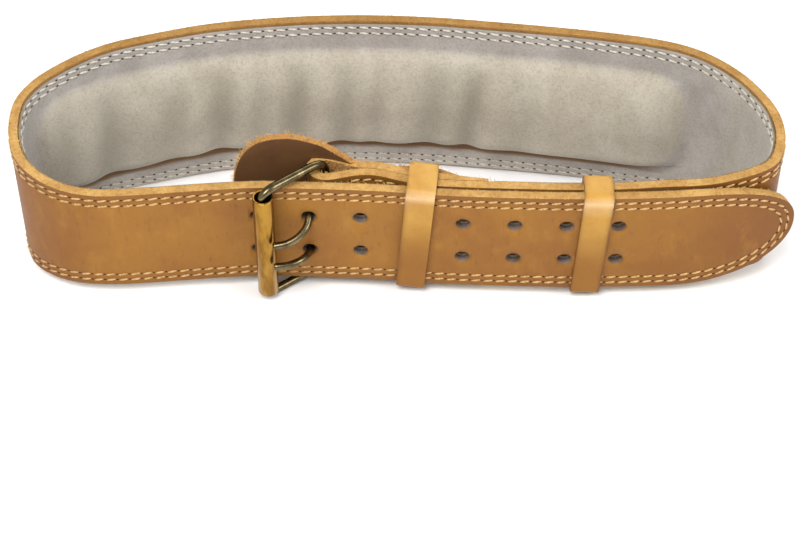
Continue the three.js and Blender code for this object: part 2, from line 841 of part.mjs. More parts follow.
// A prong: curled round the bar, out through its hole, and over to rest on the roller
function prongLine(side, lean) {
  const radius = frameWire / 2 + seatGap + prongWire / 2;
  const points = [];
  const curlSteps = 9;
  for (let i = 0; i <= curlSteps; i += 1) {
    const degrees = prongLeave - prongCurl * (1 - i / curlSteps);
    const turn = THREE.MathUtils.degToRad(degrees);
    points.push(new THREE.Vector3(radius * Math.cos(turn), radius * Math.sin(turn), 0));
  }
  const hole = new THREE.Vector3(-prongReach, -barDepth, 0);
  const reach = rollerWidth / 2 + seatGap + prongWire / 2;
  const seat = THREE.MathUtils.degToRad(prongSeat);
  const tip = rollerAxis.clone().add(new THREE.Vector3(reach * Math.cos(seat), reach * Math.sin(seat), 0));
  points.push(hole);
  for (const row of prongPlan) {
    const x = THREE.MathUtils.lerp(hole.x, tip.x, row.left);
    const y = THREE.MathUtils.lerp(hole.y, tip.y, row.out);
    points.push(new THREE.Vector3(x, y, 0));
  }
  points.push(tip);
  const from = hole.y;
  for (const point of points) {
    const share = THREE.MathUtils.clamp((from - point.y) / (from - tip.y), 0, 1);
    point.z = (side * holeSpread) / 2 + lean * share;
  }
  return new THREE.CatmullRomCurve3(points, false, 'centripetal');
}

function pieceOf(name, geometry, finish) {
  const mesh = new THREE.Mesh(geometry, finish);
  mesh.name = name;
  return mesh;
}

const belt = new THREE.Group();
const strap = pieceOf('belt_leather', strapLeather(), finishes.grain);
const suede = pieceOf('suede_lining', suedeLining(), finishes.suede);
belt.add(strap, suede);
belt.add(pieceOf('lumbar_pad', lumbarPad(), finishes.foam));
belt.add(pieceOf('buckle_guard', buckleGuard(), finishes.guard));
belt.add(keeperBand(fixedKeeper), keeperBand(slidingKeeper));

let rivetNumber = 0;
for (const reach of rivetReaches) {
  for (const side of [-1, 1]) {
    rivetNumber += 1;
    belt.add(rivet(`rivet_${rivetNumber}`, reach, (side * rivetSpread) / 2));
  }
}

const buckle = new THREE.Group();
const bar = lapPlace(0, barDepth);
buckle.position.copy(bar.point);
buckle.rotation.z = Math.atan2(bar.along.y, bar.along.x);
const frame = pieceOf('buckle_frame', buckleFrame(), finishes.bronze);
const roller = pieceOf('buckle_roller', buckleRoller(), finishes.brass);
roller.position.copy(rollerAxis);
buckle.add(frame, roller);
for (const { name, side, lean } of prongs) {
  buckle.add(pieceOf(name, bentWire(prongLine(side, lean), prongWire, prongSteps), finishes.bronze));
}
belt.add(buckle);

// Lowest point of a mesh for a given tip of the belt
function lowestPoint(mesh, tip) {
  belt.rotation.x = tip;
  belt.updateMatrixWorld(true);
  const corners = mesh.geometry.getAttribute('position');
  const corner = new THREE.Vector3();
  let lowest = Infinity;
  for (let i = 0; i < corners.count; i += 1) {
    corner.fromBufferAttribute(corners, i).applyMatrix4(mesh.matrixWorld);
    lowest = Math.min(lowest, corner.z);
  }
  return lowest;
}

// Tip the belt until the strap, pressed in a little, and the buckle's frame stand on one floor
function restingTip() {
  let less = 0;
  let more = 0.4;
  while (more - less > 1e-7) {
    const tip = (less + more) / 2;
    if (lowestPoint(strap, tip) + floorPress < lowestPoint(frame, tip)) less = tip;
    else more = tip;
  }
  return (less + more) / 2;
}

belt.rotation.x = restingTip();
belt.position.z = -lowestPoint(frame, belt.rotation.x);
belt.updateMatrixWorld(true);

// The leather's lower edge is pressed flat where it meets the floor
const toFloor = new THREE.Matrix4().copy(belt.matrixWorld).invert();
for (const mesh of [strap, suede]) {
  const corners = mesh.geometry.getAttribute('position');
  const corner = new THREE.Vector3();
  for (let i = 0; i < corners.count; i += 1) {
    corner.fromBufferAttribute(corners, i).applyMatrix4(belt.matrixWorld);
    if (corner.z >= 0) continue;
    corner.setZ(0).applyMatrix4(toFloor);
    corners.setXYZ(i, corner.x, corner.y, corner.z);
  }
}

const box = new THREE.Box3().setFromObject(belt, true);
belt.position.x -= (box.min.x + box.max.x) / 2;
belt.position.y -= (box.min.y + box.max.y) / 2;

export default belt;
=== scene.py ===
"""Looks of a weightlifting belt: a stitched leather strap, a padded suede back and a roller buckle."""

import json
import math
import random

import bpy
from mathutils import Matrix, Vector, noise

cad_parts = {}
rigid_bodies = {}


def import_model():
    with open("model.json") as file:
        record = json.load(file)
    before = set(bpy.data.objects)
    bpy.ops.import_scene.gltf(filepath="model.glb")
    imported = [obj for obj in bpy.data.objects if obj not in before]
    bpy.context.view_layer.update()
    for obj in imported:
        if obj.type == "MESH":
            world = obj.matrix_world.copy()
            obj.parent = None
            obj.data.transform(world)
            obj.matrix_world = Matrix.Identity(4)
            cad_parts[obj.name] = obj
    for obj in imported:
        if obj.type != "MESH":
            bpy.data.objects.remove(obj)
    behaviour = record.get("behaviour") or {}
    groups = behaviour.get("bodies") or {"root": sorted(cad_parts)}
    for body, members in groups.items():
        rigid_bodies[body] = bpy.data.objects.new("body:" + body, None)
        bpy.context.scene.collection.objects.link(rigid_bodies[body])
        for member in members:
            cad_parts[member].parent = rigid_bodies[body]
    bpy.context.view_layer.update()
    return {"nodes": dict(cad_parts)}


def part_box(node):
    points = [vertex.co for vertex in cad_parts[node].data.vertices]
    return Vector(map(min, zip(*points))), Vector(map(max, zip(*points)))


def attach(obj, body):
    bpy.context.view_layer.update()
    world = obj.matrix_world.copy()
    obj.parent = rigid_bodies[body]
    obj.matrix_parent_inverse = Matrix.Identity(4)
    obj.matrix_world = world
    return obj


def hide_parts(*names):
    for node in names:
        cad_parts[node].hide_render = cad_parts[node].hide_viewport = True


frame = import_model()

MM = 0.001

# The belt's own axes start at the roller's middle, with x along the front and z up the strap
MIDDLE = (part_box("buckle_roller")[0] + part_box("buckle_roller")[1]) / 2
ROLLER_TOP = max(frame["nodes"]["buckle_roller"].data.polygons, key=lambda face: face.normal.z)
TIP = math.atan2(-ROLLER_TOP.normal.y, ROLLER_TOP.normal.z)
BELT = Matrix.Translation(MIDDLE) @ Matrix.Rotation(TIP, 4, "X")

# Distances along the strap from its folded end
EYE = 90 * MM
LINING_START = 182.2 * MM
BACK = 548.8 * MM
PRONG_HOLE = 924 * MM
STRAP_END = 1161.4 * MM

# Strap
LEATHER = 4.4 * MM
BACK_HEIGHT = 100 * MM
FRONT_HEIGHT = 63 * MM
TAPER_START = 130 * MM
TAPER_END = 275 * MM
TAPER_SHIFT = 6 * MM
TIP_LENGTH = 60 * MM
TIP_POWER = 2.2
SKIVE_LENGTH = 28 * MM
SKIVE_EDGE = 1.4 * MM
COLUMN_STEP = 2.5 * MM
STRAP_ROWS = 8
STRAP_FIRST_ROW = 0.6 * MM

# Holes
HOLE_COLUMNS = 8
HOLE_PITCH = 24.8 * MM
HOLE_SPREAD = 23.2 * MM
HOLE_WIDTH = 7 * MM
HOLE_FLARE = 0.7 * MM
# Rises of a punch's mouth, each with how much wider it is at its end
HOLE_MOUTH = [(HOLE_FLARE, 1.2), (3 * MM, 1.3)]
HOLE_SIDES = 28
SLOT_WIDTH = 5.6 * MM
SLOT_LENGTH = 33 * MM
SLOT_CORNER = 2 * MM
# Their walls lie at least this far in from the strap's edge
HOLE_MARGIN = 12 * MM
CUTTER_REACH = 20 * MM

# Lining and pad
LINING = 1 * MM
LINING_INSET = 1 * MM
SEAT_GAP = 0.3 * MM
LINING_ROWS = 56
LINING_FIRST_ROW = 1.6 * MM
PAD_MIDDLE = BACK + 21 * MM
PAD_LENGTH = 347 * MM
PAD_HEIGHT = 64 * MM
PAD_RISE = 2 * MM
PAD_DEPTH = 11.5 * MM
PAD_CORNER = 24 * MM
# How far in from each side the pad reaches its full depth
PAD_ROLLS = {"top": 38 * MM, "bottom": 11 * MM, "end": 34 * MM, "corner": 8 * MM}
# Soft upright folds: middles as shares of the pad's half length, depths as shares of its own, widths
PAD_FOLDS = [
    (0.91, 0.14, 8 * MM),
    (0.76, 0.24, 9 * MM),
    (0.56, 0.13, 9 * MM),
    (0.41, 0.25, 8 * MM),
    (0.29, 0.14, 6 * MM),
    (0.18, 0.24, 8 * MM),
    (0.035, 0.22, 7 * MM),
    (-0.065, 0.12, 6 * MM),
    (-0.23, 0.22, 9 * MM),
    (-0.35, 0.26, 6 * MM),
    (-0.5, 0.08, 10 * MM),
]
PAD_FOLD_LEAN = 0.12
PAD_FOLD_FADE = 0.6
# A fold this deep is shaded in full and draws up the lower edge by the whole scallop
DEEP_FOLD = 0.25
PAD_SCALLOP = 0.9 * MM
# The painted shadow under the pad's lower edge: its half width, how far below the edge it lies, and
# where it fades toward the pad's ends
PAD_SHADOW_WIDTH = 3 * MM
PAD_SHADOW_BELOW = 5.2 * MM
PAD_SHADOW_ENDS = (0.8, 0.98)
# The folds' shade fades in this far from the pad's outline, and the margin's shade this far
PAD_SHADE_EDGE = 12 * MM
PAD_MARGIN_EDGE = 4 * MM
# Where the shade beside the pad starts to fade, where it is weakest, and how much it has lost there
PAD_MARGIN = (8 * MM, 30 * MM)
PAD_MARGIN_FADE = 0.6
# The pad's fullness between its folds, its unevenness, and the lumps of this in a metre
PAD_FULL = 1.06
PAD_UNEVEN = 0.08
PAD_LUMPS = 30

# Seams, by their distance in from the strap's edge
SEAM_INSETS = [3.4 * MM, 7.2 * MM]
SEAM_DIP = 0.25 * MM
SEAM_HALF = 1.2 * MM
OUTER_SEAM_START = 112 * MM
INNER_SEAM_START = LINING_START + 3 * MM
# Heights of the stitches above the middle of the leather
OUTER_FACE = LEATHER / 2 - SEAM_DIP * 0.6
INNER_FACE = -(LEATHER / 2 + SEAT_GAP + LINING) + SEAM_DIP * 0.1
STITCH_PITCH = 6 * MM
STITCH_LENGTH = 4.7 * MM
STITCH_WIDTH = 1.15 * MM
STITCH_LEAN = 11
STITCH_RISE = 0.12 * MM
NEEDLE_HOLE = 1.3 * MM
NEEDLE_HOLE_DEPTH = 0.24 * MM

# Guard, by distance from its free end
GUARD = 3.8 * MM
GUARD_NECK_HEIGHT = 59 * MM
GUARD_PADDLE_HEIGHT = 84 * MM
GUARD_PADDLE_RISE = 3.5 * MM
GUARD_FLARE = (71 * MM, 25 * MM)
GUARD_ROUND = 25 * MM
GUARD_POWER = 2.8
GUARD_ROWS = 12
GUARD_RIM_ROWS = [(0, 0), (0.7 * MM, 0), (3 * MM, 0)]
# The waver of the guard's cut end, and its waves in a metre
GUARD_WAVER = 0.3 * MM
GUARD_WAVES = 260

# Loose fibres: on each piece their number and the longest one
FIBRE_WIDTH = 0.3 * MM
FIBRE_LEAN = 0.8
FIBRE_SEED = 4
GUARD_FIBRES = (700, 3.4 * MM)
FOLD_FIBRES = (420, 3 * MM)
EDGE_FIBRES = (1500, 1 * MM)
# The fold's raw faces begin this far along from the roller, run this far, and lie above this height
FOLD_START = 26 * MM
FOLD_LENGTH = 38 * MM
FOLD_LOW = 60 * MM

# Buckle
ROLLER_WIDTH = 10 * MM
ROLLER_HEIGHT = 66 * MM
ROLLER_WALL = 1 * MM
ROLLER_SIDES = 56
# How far each wire's faceted skin moves out before it is rounded
WIRE_SWELLS = {"buckle_frame": 0.17 * MM, "prong_upper": 0.38 * MM, "prong_lower": 0.38 * MM}

# How much the edges of each kind of piece are rounded
STRAP_BEVEL = 0.5 * MM
LINING_BEVEL = 0.3 * MM
GUARD_BEVEL = 0.6 * MM
KEEPER_BEVEL = 0.5 * MM
ROLLER_BEVEL = 0.3 * MM
RIVET_BEVEL = 0.2 * MM

# Keepers: the painted highlight band below the upper bend, and the darkened edges, found slab by slab
HIGHLIGHT_DROP = 7 * MM
HIGHLIGHT_HALF = 4.5 * MM
KEEPER_SLAB = 2 * MM
KEEPER_RIM = 1.6 * MM

# Design pressed into the back: a barbell in a frame with cut corners
DESIGN_MIDDLE = BACK + 14 * MM
DESIGN_SIZE = (97 * MM, 74 * MM)
DESIGN_DEPTH = 0.8 * MM
DESIGN_DRAFT = 0.5 * MM
DESIGN_FRAME = 3.4 * MM
DESIGN_SIDES = 8
# Cuts of the stamp's faces, so that what they leave follows the strap when this is bent
BLOCK_CUTS = 16
FRAME_CUTS = 6
BAR_SIZE = (78 * MM, 4.2 * MM)
# Each weight and collar of the barbell: its distance from the middle, width and height
WEIGHTS = [(19 * MM, 3 * MM, 10 * MM), (25.5 * MM, 6 * MM, 42 * MM), (33.5 * MM, 5 * MM, 28 * MM)]

# Camera
CAMERA_AIM = Vector((-1.4, 10.35, 45.8)) * MM
CAMERA_DISTANCE = 1076.5 * MM
CAMERA_ELEVATION = math.radians(45.34) - TIP
CAMERA_LENS = 96.2
AIM_ROW = 150
IMAGE_SIZE = (800, 558)

# Lights: place, size and power in watts
LIGHTS = {
    "key_light": ((-0.45, -1.1, 1.6), 0.9, 34),
    "fill_light": ((1.5, -0.8, 1.2), 0.9, 16),
    "back_light": ((0.3, 1.5, 1.4), 1.2, 14),
}
WORLD_LIGHT = 0.65
FLOOR_SIZE = 8

# Material slots of the strap, the lining and the guard, past the first of each
EDGE_SLOT, PRESSED_SLOT, FLESH_SLOT, WALL_SLOT = 1, 2, 3, 4
LINING_EDGE_SLOT = 1
GUARD_FLESH_SLOT, GUARD_RIM_SLOT = 1, 2

# Sockets of a colour Mix node
MIX_SHARE, MIX_FIRST, MIX_SECOND, MIX_RESULT = 0, 6, 7, 2


def colour(red, green, blue):
    """A colour as the eye names it, in steps of 255, for a shader."""
    steps = [value / 255 for value in (red, green, blue)]
    linear = [((value + 0.055) / 1.055) ** 2.4 if value > 0.04 else value / 12.92 for value in steps]
    return (*linear, 1)


def blend(a, b, share):
    return a + (b - a) * share


def smooth_step(value, start, end):
    share = min(max((value - start) / (end - start), 0), 1)
    return share * share * (3 - 2 * share)


# Shader maths


class Value:
    """A socket of a finish. Sums and products on it add Math nodes."""

    def __init__(self, finish, socket):
        self.finish = finish
        self.socket = socket

    def math(self, operation, *values):
        return self.finish.node("ShaderNodeMath", {"operation": operation}, values)

    def __add__(self, other):
        return self.math("ADD", self, other)

    def __radd__(self, other):
        return self.math("ADD", other, self)

    def __sub__(self, other):
        return self.math("SUBTRACT", self, other)

    def __rsub__(self, other):
        return self.math("SUBTRACT", other, self)

    def __mul__(self, other):
        return self.math("MULTIPLY", self, other)

    def __rmul__(self, other):
        return self.math("MULTIPLY", other, self)

    def __abs__(self):
        return self.math("ABSOLUTE", self)


class Finish:
    """A material with one glossy shader, and the nodes that feed it."""

    def __init__(self, name, **constants):
        self.material = bpy.data.materials.new(name)
        self.material.use_nodes = True
        self.tree = self.material.node_tree
        self.shader = self.tree.nodes["Principled BSDF"]
        for socket, value in constants.items():
            self.shader.inputs[socket.replace("_", " ")].default_value = value

    def node(self, kind, settings=None, inputs=(), output=0):
        """Adds a node with its settings and the values or links of its sockets, and gives one output."""
        made = self.tree.nodes.new(kind)
        for name, value in (settings or {}).items():
            setattr(made, name, value)
        pairs = inputs.items() if isinstance(inputs, dict) else enumerate(inputs)
        for name, value in pairs:
            if isinstance(value, Value):
                self.tree.links.new(value.socket, made.inputs[name])
            else:
                made.inputs[name].default_value = value
        return Value(self, made.outputs[output])

    def feed(self, socket, value):
        self.tree.links.new(value.socket, self.shader.inputs[socket])

    def place(self):
        return self.node("ShaderNodeTexCoord", output="Object")

    def along(self, axis):
        return self.node("ShaderNodeSeparateXYZ", None, {"Vector": self.place()}, output=axis)

    def noise(self, size, detail=3, roughness=0.55, stretch=(1, 1, 1)):
        """Cloudy noise from 0 to 1 with patches about this size across."""
        turned = self.node("ShaderNodeMapping", None, {"Vector": self.place(), "Scale": stretch})
        inputs = {"Vector": turned, "Scale": 1 / size, "Detail": detail, "Roughness": roughness}
        return self.node("ShaderNodeTexNoise", None, inputs)

    def mask(self, value, low, high):
        """0 where value is under low and 1 where it is over high."""
        inputs = {"Value": value, "From Min": low, "From Max": high}
        return self.node("ShaderNodeMapRange", {"interpolation_type": "SMOOTHSTEP"}, inputs)

    def mix(self, share, first, second):
        inputs = {MIX_SHARE: share, MIX_FIRST: first, MIX_SECOND: second}
        return self.node("ShaderNodeMix", {"data_type": "RGBA"}, inputs, MIX_RESULT)

    def speckle(self, base, value, low, high, share, tone):
        """Mixes a tone into a colour, up to this share, where value is high."""
        return self.mix(self.mask(value, low, high) * share, base, colour(*tone))

    def mark(self, name):
        """A number painted on the piece's points."""
        return self.node("ShaderNodeAttribute", {"attribute_name": name}, output="Fac")

    def bump(self, height, depth, strength):
        inputs = {"Height": height, "Distance": depth, "Strength": strength}
        self.feed("Normal", self.node("ShaderNodeBump", None, inputs))


def grain_finish(name, front, back):
    """Oiled grain leather: mottled, finely creased, darker toward the front's right end and at its
    worked edges, with painted shade where the strap turns away at the belt's ends.
    """
    finish = Finish(name, Specular_IOR_Level=0.24)
    along = finish.along("X")
    to_back = finish.mask(finish.along("Y"), -30 * MM, 30 * MM)
    # Painted shade where the strap turns away at both ends of the belt
    ends_shade = finish.mask(abs(along), 130 * MM, 190 * MM)
    to_right = finish.mask(along, 70 * MM, 185 * MM) * (1 - to_back)
    burnish = 1 - finish.mask(finish.mark("from_edge"), 1 * MM, 9 * MM)
    clouds = finish.noise(50 * MM, 4, 0.6)
    mottle = finish.noise(9 * MM, 5, 0.65, (1, 1, 0.5))
    creases = finish.noise(3.5 * MM, 3, 0.6, (1.6, 1.6, 0.3))
    pores = finish.noise(1.1 * MM, 2, 0.7)
    base = finish.mix(to_back, colour(*front), colour(*back))
    base = finish.mix(ends_shade * 0.7, base, colour(118, 68, 14))
    base = finish.mix(to_right * 0.42, base, colour(104, 58, 14))
    base = finish.speckle(base, clouds, 0.42, 0.66, 0.45, (118, 68, 26))
    base = finish.speckle(base, mottle, 0.48, 0.78, 0.25, (176, 130, 60))
    base = finish.mix(burnish * 0.45, base, colour(106, 66, 30))
    base = finish.speckle(base, creases, 0.58, 0.72, 0.28, (94, 58, 28))
    base = finish.speckle(base, pores, 0.55, 0.75, 0.2, (86, 54, 26))
    finish.feed("Base Color", base)
    finish.feed("Roughness", 0.4 + mottle * 0.25)
    finish.bump(pores * 0.5 + creases, 0.3 * MM, 0.5)
    return finish.material


def edge_finish(name, tone, shade):
    """The cut edge of leather: pale, with fibres that lie along it."""
    finish = Finish(name, Specular_IOR_Level=0.2)
    fibres = finish.noise(2 * MM, 5, 0.75, (1, 1, 3))
    patches = finish.noise(12 * MM, 4, 0.65)
    to_back = finish.mask(finish.along("Y"), -30 * MM, 40 * MM)
    base = finish.mix(finish.mask(patches, 0.35, 0.65), colour(*tone), colour(*shade))
    base = finish.mix(to_back * 0.45, base, colour(118, 82, 34))
    base = finish.speckle(base, fibres, 0.45, 0.65, 0.4, (118, 76, 32))
    finish.feed("Base Color", base)
    finish.feed("Roughness", 0.65 + fibres * 0.3)
    finish.bump(fibres + patches, 0.6 * MM, 0.8)
    return finish.material


def suede_finish(name):
    """Brushed suede: a short nap that takes dark and light strokes, with painted shade in the pad's
    folds, toward the belt's left end and, greyer, in the margins beside the pad, and a painted shadow
    under its lower edge.
    """
    finish = Finish(name, Specular_IOR_Level=0.05, Sheen_Weight=0.3, Sheen_Roughness=0.5)
    strokes = finish.noise(20 * MM, 5, 0.65, (1, 1, 0.7))
    nap = finish.noise(1.3 * MM, 4, 0.8)
    # Painted shade over the belt's left part
    left_shade = 1 - finish.mask(finish.along("X"), -170 * MM, -70 * MM)
    base = finish.mix(finish.mask(strokes, 0.35, 0.65), colour(174, 165, 149), colour(189, 181, 166))
    # The greyer painted shade in the margins beside the pad
    margin_shade_grey = finish.mix(finish.mask(strokes, 0.3, 0.7), colour(158, 152, 147), colour(178, 172, 168))
    base = finish.mix(left_shade * 0.4, base, colour(146, 140, 128))
    # Painted shade in the pad's folds
    base = finish.mix(finish.mark("fold") * 0.65, base, colour(132, 127, 112))
    base = finish.mix(finish.mark("margin") * 0.8, base, margin_shade_grey)
    # Painted shadow, brown, under the pad's lower edge
    base = finish.mix(finish.mark("under_pad_shadow") * 0.95, base, colour(112, 76, 32))
    base = finish.speckle(base, nap, 0.42, 0.72, 0.36, (106, 98, 84))
    finish.feed("Base Color", base)
    finish.feed("Roughness", 0.85 + nap * 0.15)
    finish.bump(nap + strokes * 0.5, 0.6 * MM, 0.5)
    return finish.material


def flesh_finish(name):
    """The raw flesh side of leather: golden and fuzzy."""
    finish = Finish(name, Specular_IOR_Level=0.1, Sheen_Weight=0.2)
    fuzz = finish.noise(2.6 * MM, 5, 0.8)
    clouds = finish.noise(15 * MM, 4)
    base = finish.mix(clouds, colour(150, 100, 44), colour(186, 138, 70))
    finish.feed("Base Color", finish.speckle(base, fuzz, 0.45, 0.65, 0.5, (104, 66, 28)))
    finish.feed("Roughness", 0.8 + fuzz * 0.2)
    finish.bump(fuzz, 1 * MM, 0.9)
    return finish.material


def plain_leather_finish(name, tone, shade, low, gloss):
    """Smooth leather, clouded, with painted shade low on the belt, burnished rims and a painted
    highlight band.
    """
    finish = Finish(name, Specular_IOR_Level=0.2, Coat_Weight=0.06, Coat_Roughness=0.2)
    clouds = finish.noise(22 * MM, 4, 0.6)
    pores = finish.noise(1.2 * MM, 3, 0.7)
    # Painted shade: the leather takes the low colour lower on the belt
    down = 1 - finish.mask(finish.along("Z"), 20 * MM, 62 * MM)
    painted_highlight = finish.mark("painted_highlight")
    base = finish.speckle(colour(*tone), clouds, 0.35, 0.7, 0.7, shade)
    base = finish.mix(down * 0.8, base, colour(*low))
    base = finish.mix(finish.mark("rim") * 0.6, base, colour(92, 54, 14))
    # Painted highlight: a pale band below the keeper's upper bend
    base = finish.mix(painted_highlight * 0.5, base, colour(238, 206, 166))
    base = finish.speckle(base, pores, 0.55, 0.75, 0.2, (84, 52, 24))
    finish.feed("Base Color", base)
    finish.feed("Roughness", gloss + clouds * 0.2 - painted_highlight * 0.12)
    finish.bump(pores + clouds, 0.3 * MM, 0.4)
    return finish.material


def metal_finish(name, tone, worn, roughness):
    """Plated steel, worn through in places and streaked by handling."""
    finish = Finish(name, Metallic=1.0)
    streaks = finish.noise(6 * MM, 4, 0.6, (1, 1, 0.2))
    specks = finish.noise(1.2 * MM, 3, 0.7)
    base = finish.mix(finish.mask(streaks, 0.42, 0.66), colour(*tone), colour(*worn))
    finish.feed("Base Color", finish.speckle(base, specks, 0.6, 0.8, 0.35, (60, 48, 34)))
    finish.feed("Roughness", roughness + specks * 0.12)
    finish.bump(specks + streaks, 0.06 * MM, 0.2)
    return finish.material


def thread_finish(name, tone, shade):
    """Twisted thread, its turns darker between its strands."""
    finish = Finish(name, Specular_IOR_Level=0.3)
    twist = finish.noise(0.9 * MM, 2, 0.6)
    finish.feed("Base Color", finish.mix(finish.mask(twist, 0.4, 0.7), colour(*tone), colour(*shade)))
    finish.feed("Roughness", 0.6 + twist * 0.2)
    finish.bump(twist, 0.2 * MM, 0.6)
    return finish.material


def hole_finish(name):
    """Painted shade in a needle's hole: its dark bottom."""
    finish = Finish(name, Specular_IOR_Level=0.1)
    hole_shade_noise = finish.noise(1 * MM, 2)
    finish.feed("Base Color", finish.mix(hole_shade_noise, colour(52, 32, 18), colour(84, 54, 30)))
    finish.feed("Roughness", 0.8 + hole_shade_noise * 0.1)
    return finish.material


def floor_finish(name):
    finish = Finish(name, Specular_IOR_Level=0.2)
    haze = finish.noise(400 * MM, 2)
    finish.feed("Base Color", finish.mix(haze, colour(242, 242, 242), colour(246, 246, 246)))
    finish.feed("Roughness", 0.8 + haze * 0.1)
    return finish.material


GRAIN = grain_finish("grain_leather", (144, 97, 34), (180, 126, 50))
PRESSED = grain_finish("pressed_leather", (132, 82, 32), (146, 94, 36))
CUT_EDGE = edge_finish("cut_edge", (190, 150, 88), (168, 128, 70))
# Painted shade inside the punched holes: their walls a dark grey-brown instead of the cut edge's tan
HOLE_WALLS = edge_finish("hole_walls", (126, 114, 106), (98, 84, 70))
LINING_EDGE = edge_finish("lining_edge", (138, 124, 100), (112, 96, 70))
FUZZ = edge_finish("fuzz", (226, 184, 112), (206, 160, 88))
SUEDE = suede_finish("suede")
FLESH = flesh_finish("guard_flesh")
# The last colour of each is its painted shade low on the belt
GUARD_GRAIN = plain_leather_finish("guard_grain", (100, 68, 40), (76, 50, 32), (92, 62, 40), 0.5)
KEEPER = plain_leather_finish("keeper_leather", (184, 140, 62), (162, 112, 40), (124, 74, 16), 0.32)
BRONZE = metal_finish("bronze", (88, 78, 54), (126, 112, 82), 0.16)
BRASS = metal_finish("brass", (172, 130, 56), (126, 88, 30), 0.18)
OUTER_THREAD = thread_finish("outer_thread", (196, 160, 108), (148, 112, 64))
INNER_THREAD = thread_finish("inner_thread", (200, 194, 182), (164, 157, 145))
NEEDLE_HOLES = hole_finish("needle_holes")


# Handling of pieces

RIGHT_ANGLE = math.radians(90)
SHARP = math.radians(60)
# Points closer than this are one, in a CAD node's copy, in a section of it and in a sheet
NODE_MERGE = 1e-5
SECTION_MERGE = 2e-5
SHEET_MERGE = 1e-6
# A face whose normal rises more than this lies level, and one whose normal rises less stands upright
LEVEL = 0.9
UPRIGHT = 0.2


def pick(*pieces):
    """Selects only these pieces, the last one active."""
    bpy.ops.object.select_all(action="DESELECT")
    for piece in pieces:
        piece.select_set(True)
        bpy.context.view_layer.objects.active = piece


def start_edit(piece, kind="FACE"):
    pick(piece)
    bpy.ops.object.mode_set(mode="EDIT")
    bpy.ops.mesh.select_mode(type=kind)
    bpy.ops.mesh.select_all(action="SELECT")


def end_edit():
    bpy.ops.object.mode_set(mode="OBJECT")


def choose_faces(piece, wanted):
    """In edit mode, selects only the faces that wanted accepts."""
    bpy.ops.mesh.select_all(action="DESELECT")
    end_edit()
    for face in piece.data.polygons:
        face.select = wanted(face)
    bpy.ops.object.mode_set(mode="EDIT")


def named(piece, name):
    piece.name = name
    piece.data.name = name
    return piece


def apply_modifier(piece, kind, **settings):
    pick(piece)
    modifier = piece.modifiers.new(kind.title(), kind)
    for name, value in settings.items():
        setattr(modifier, name, value)
    bpy.ops.object.modifier_apply(modifier=modifier.name)


def bevelled(piece, width, segments, sharp=SHARP):
    """Rounds a piece's edges where its faces meet at more than the sharp angle."""
    limit = {"limit_method": "ANGLE", "angle_limit": sharp}
    apply_modifier(piece, "BEVEL", width=width, segments=segments, **limit)


def joined(pieces, name):
    pick(*pieces)
    bpy.ops.object.join()
    return named(bpy.context.object, name)


def node_copy(node):
    """A copy of a CAD node with its points merged, free of the body that it rode on."""
    pick(frame["nodes"][node])
    bpy.ops.object.duplicate()
    piece = named(bpy.context.object, node + "_shape")
    bpy.ops.object.parent_clear(type="CLEAR_KEEP_TRANSFORM")
    start_edit(piece)
    bpy.ops.mesh.remove_doubles(threshold=NODE_MERGE)
    end_edit()
    piece.data.materials.clear()
    return piece


def node_in_quads(node, material):
    """A copy of a CAD node in one material, its triangles paired."""
    piece = node_copy(node)
    piece.data.materials.append(material)
    start_edit(piece)
    bpy.ops.mesh.tris_convert_to_quads()
    end_edit()
    return piece


def subdivided(piece):
    apply_modifier(piece, "SUBSURF", levels=2, render_levels=2)


def drop(piece):
    bpy.data.objects.remove(piece, do_unlink=True)


def stand_in_frame(piece):
    """Takes a piece from the belt's own axes to its place in the frame."""
    piece.matrix_world = BELT @ piece.matrix_world
    pick(piece)
    bpy.ops.object.transform_apply(location=True, rotation=True, scale=True)
    return piece


def rest_on_floor(piece):
    """Presses a soft piece flat where it stands on the floor."""
    for point in piece.data.vertices:
        point.co.z = max(point.co.z, 0)


def finished(piece, nodes, degrees=40):
    """Smooths a piece, fixes it to the belt and lets it take the place of its nodes."""
    pick(piece)
    bpy.ops.object.shade_smooth_by_angle(angle=math.radians(degrees))
    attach(piece, "root")
    if nodes:
        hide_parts(*nodes)
    return piece


# Lines that the flat pieces are bent along


def section(node):
    """The ring of points that the belt's middle plane cuts from a node, in the belt's axes."""
    piece = node_copy(node)
    start_edit(piece, "VERT")
    up = BELT.to_3x3() @ Vector((0, 0, 1))
    bpy.ops.mesh.bisect(plane_co=MIDDLE, plane_no=up, clear_inner=True, clear_outer=True)
    bpy.ops.mesh.select_all(action="SELECT")
    bpy.ops.mesh.remove_doubles(threshold=SECTION_MERGE)
    end_edit()
    bpy.ops.object.convert(target="CURVE")
    to_belt = BELT.inverted()
    ring = [to_belt @ point.co.xyz for point in bpy.context.object.data.splines[0].points]
    drop(bpy.context.object)
    return ring


def turn_at(ring, i):
    before = ring[i] - ring[i - 1]
    after = ring[(i + 1) % len(ring)] - ring[i]
    return before.angle(after, 0)


def walls(ring):
    """The two long sides of a section and its two ends, as lists of points in the ring's order."""
    corners = sorted(sorted(range(len(ring)), key=lambda i: -turn_at(ring, i))[:4])
    sides = []
    for start, end in zip(corners, corners[1:] + [corners[0] + len(ring)]):
        sides.append([ring[i % len(ring)] for i in range(start, end + 1)])
    return sides


def run_length(points):
    return sum((b - a).length for a, b in zip(points, points[1:]))


def bend_points(points):
    """Only the points at which a run of them turns."""
    least_turn = math.radians(0.6)
    kept = [points[0]]
    for i in range(1, len(points) - 1):
        if (points[i] - kept[-1]).angle(points[i + 1] - points[i], 0) > least_turn:
            kept.append(points[i])
    return kept + [points[-1]]


def nearness(point, others):
    return min((point - other).length for other in others)


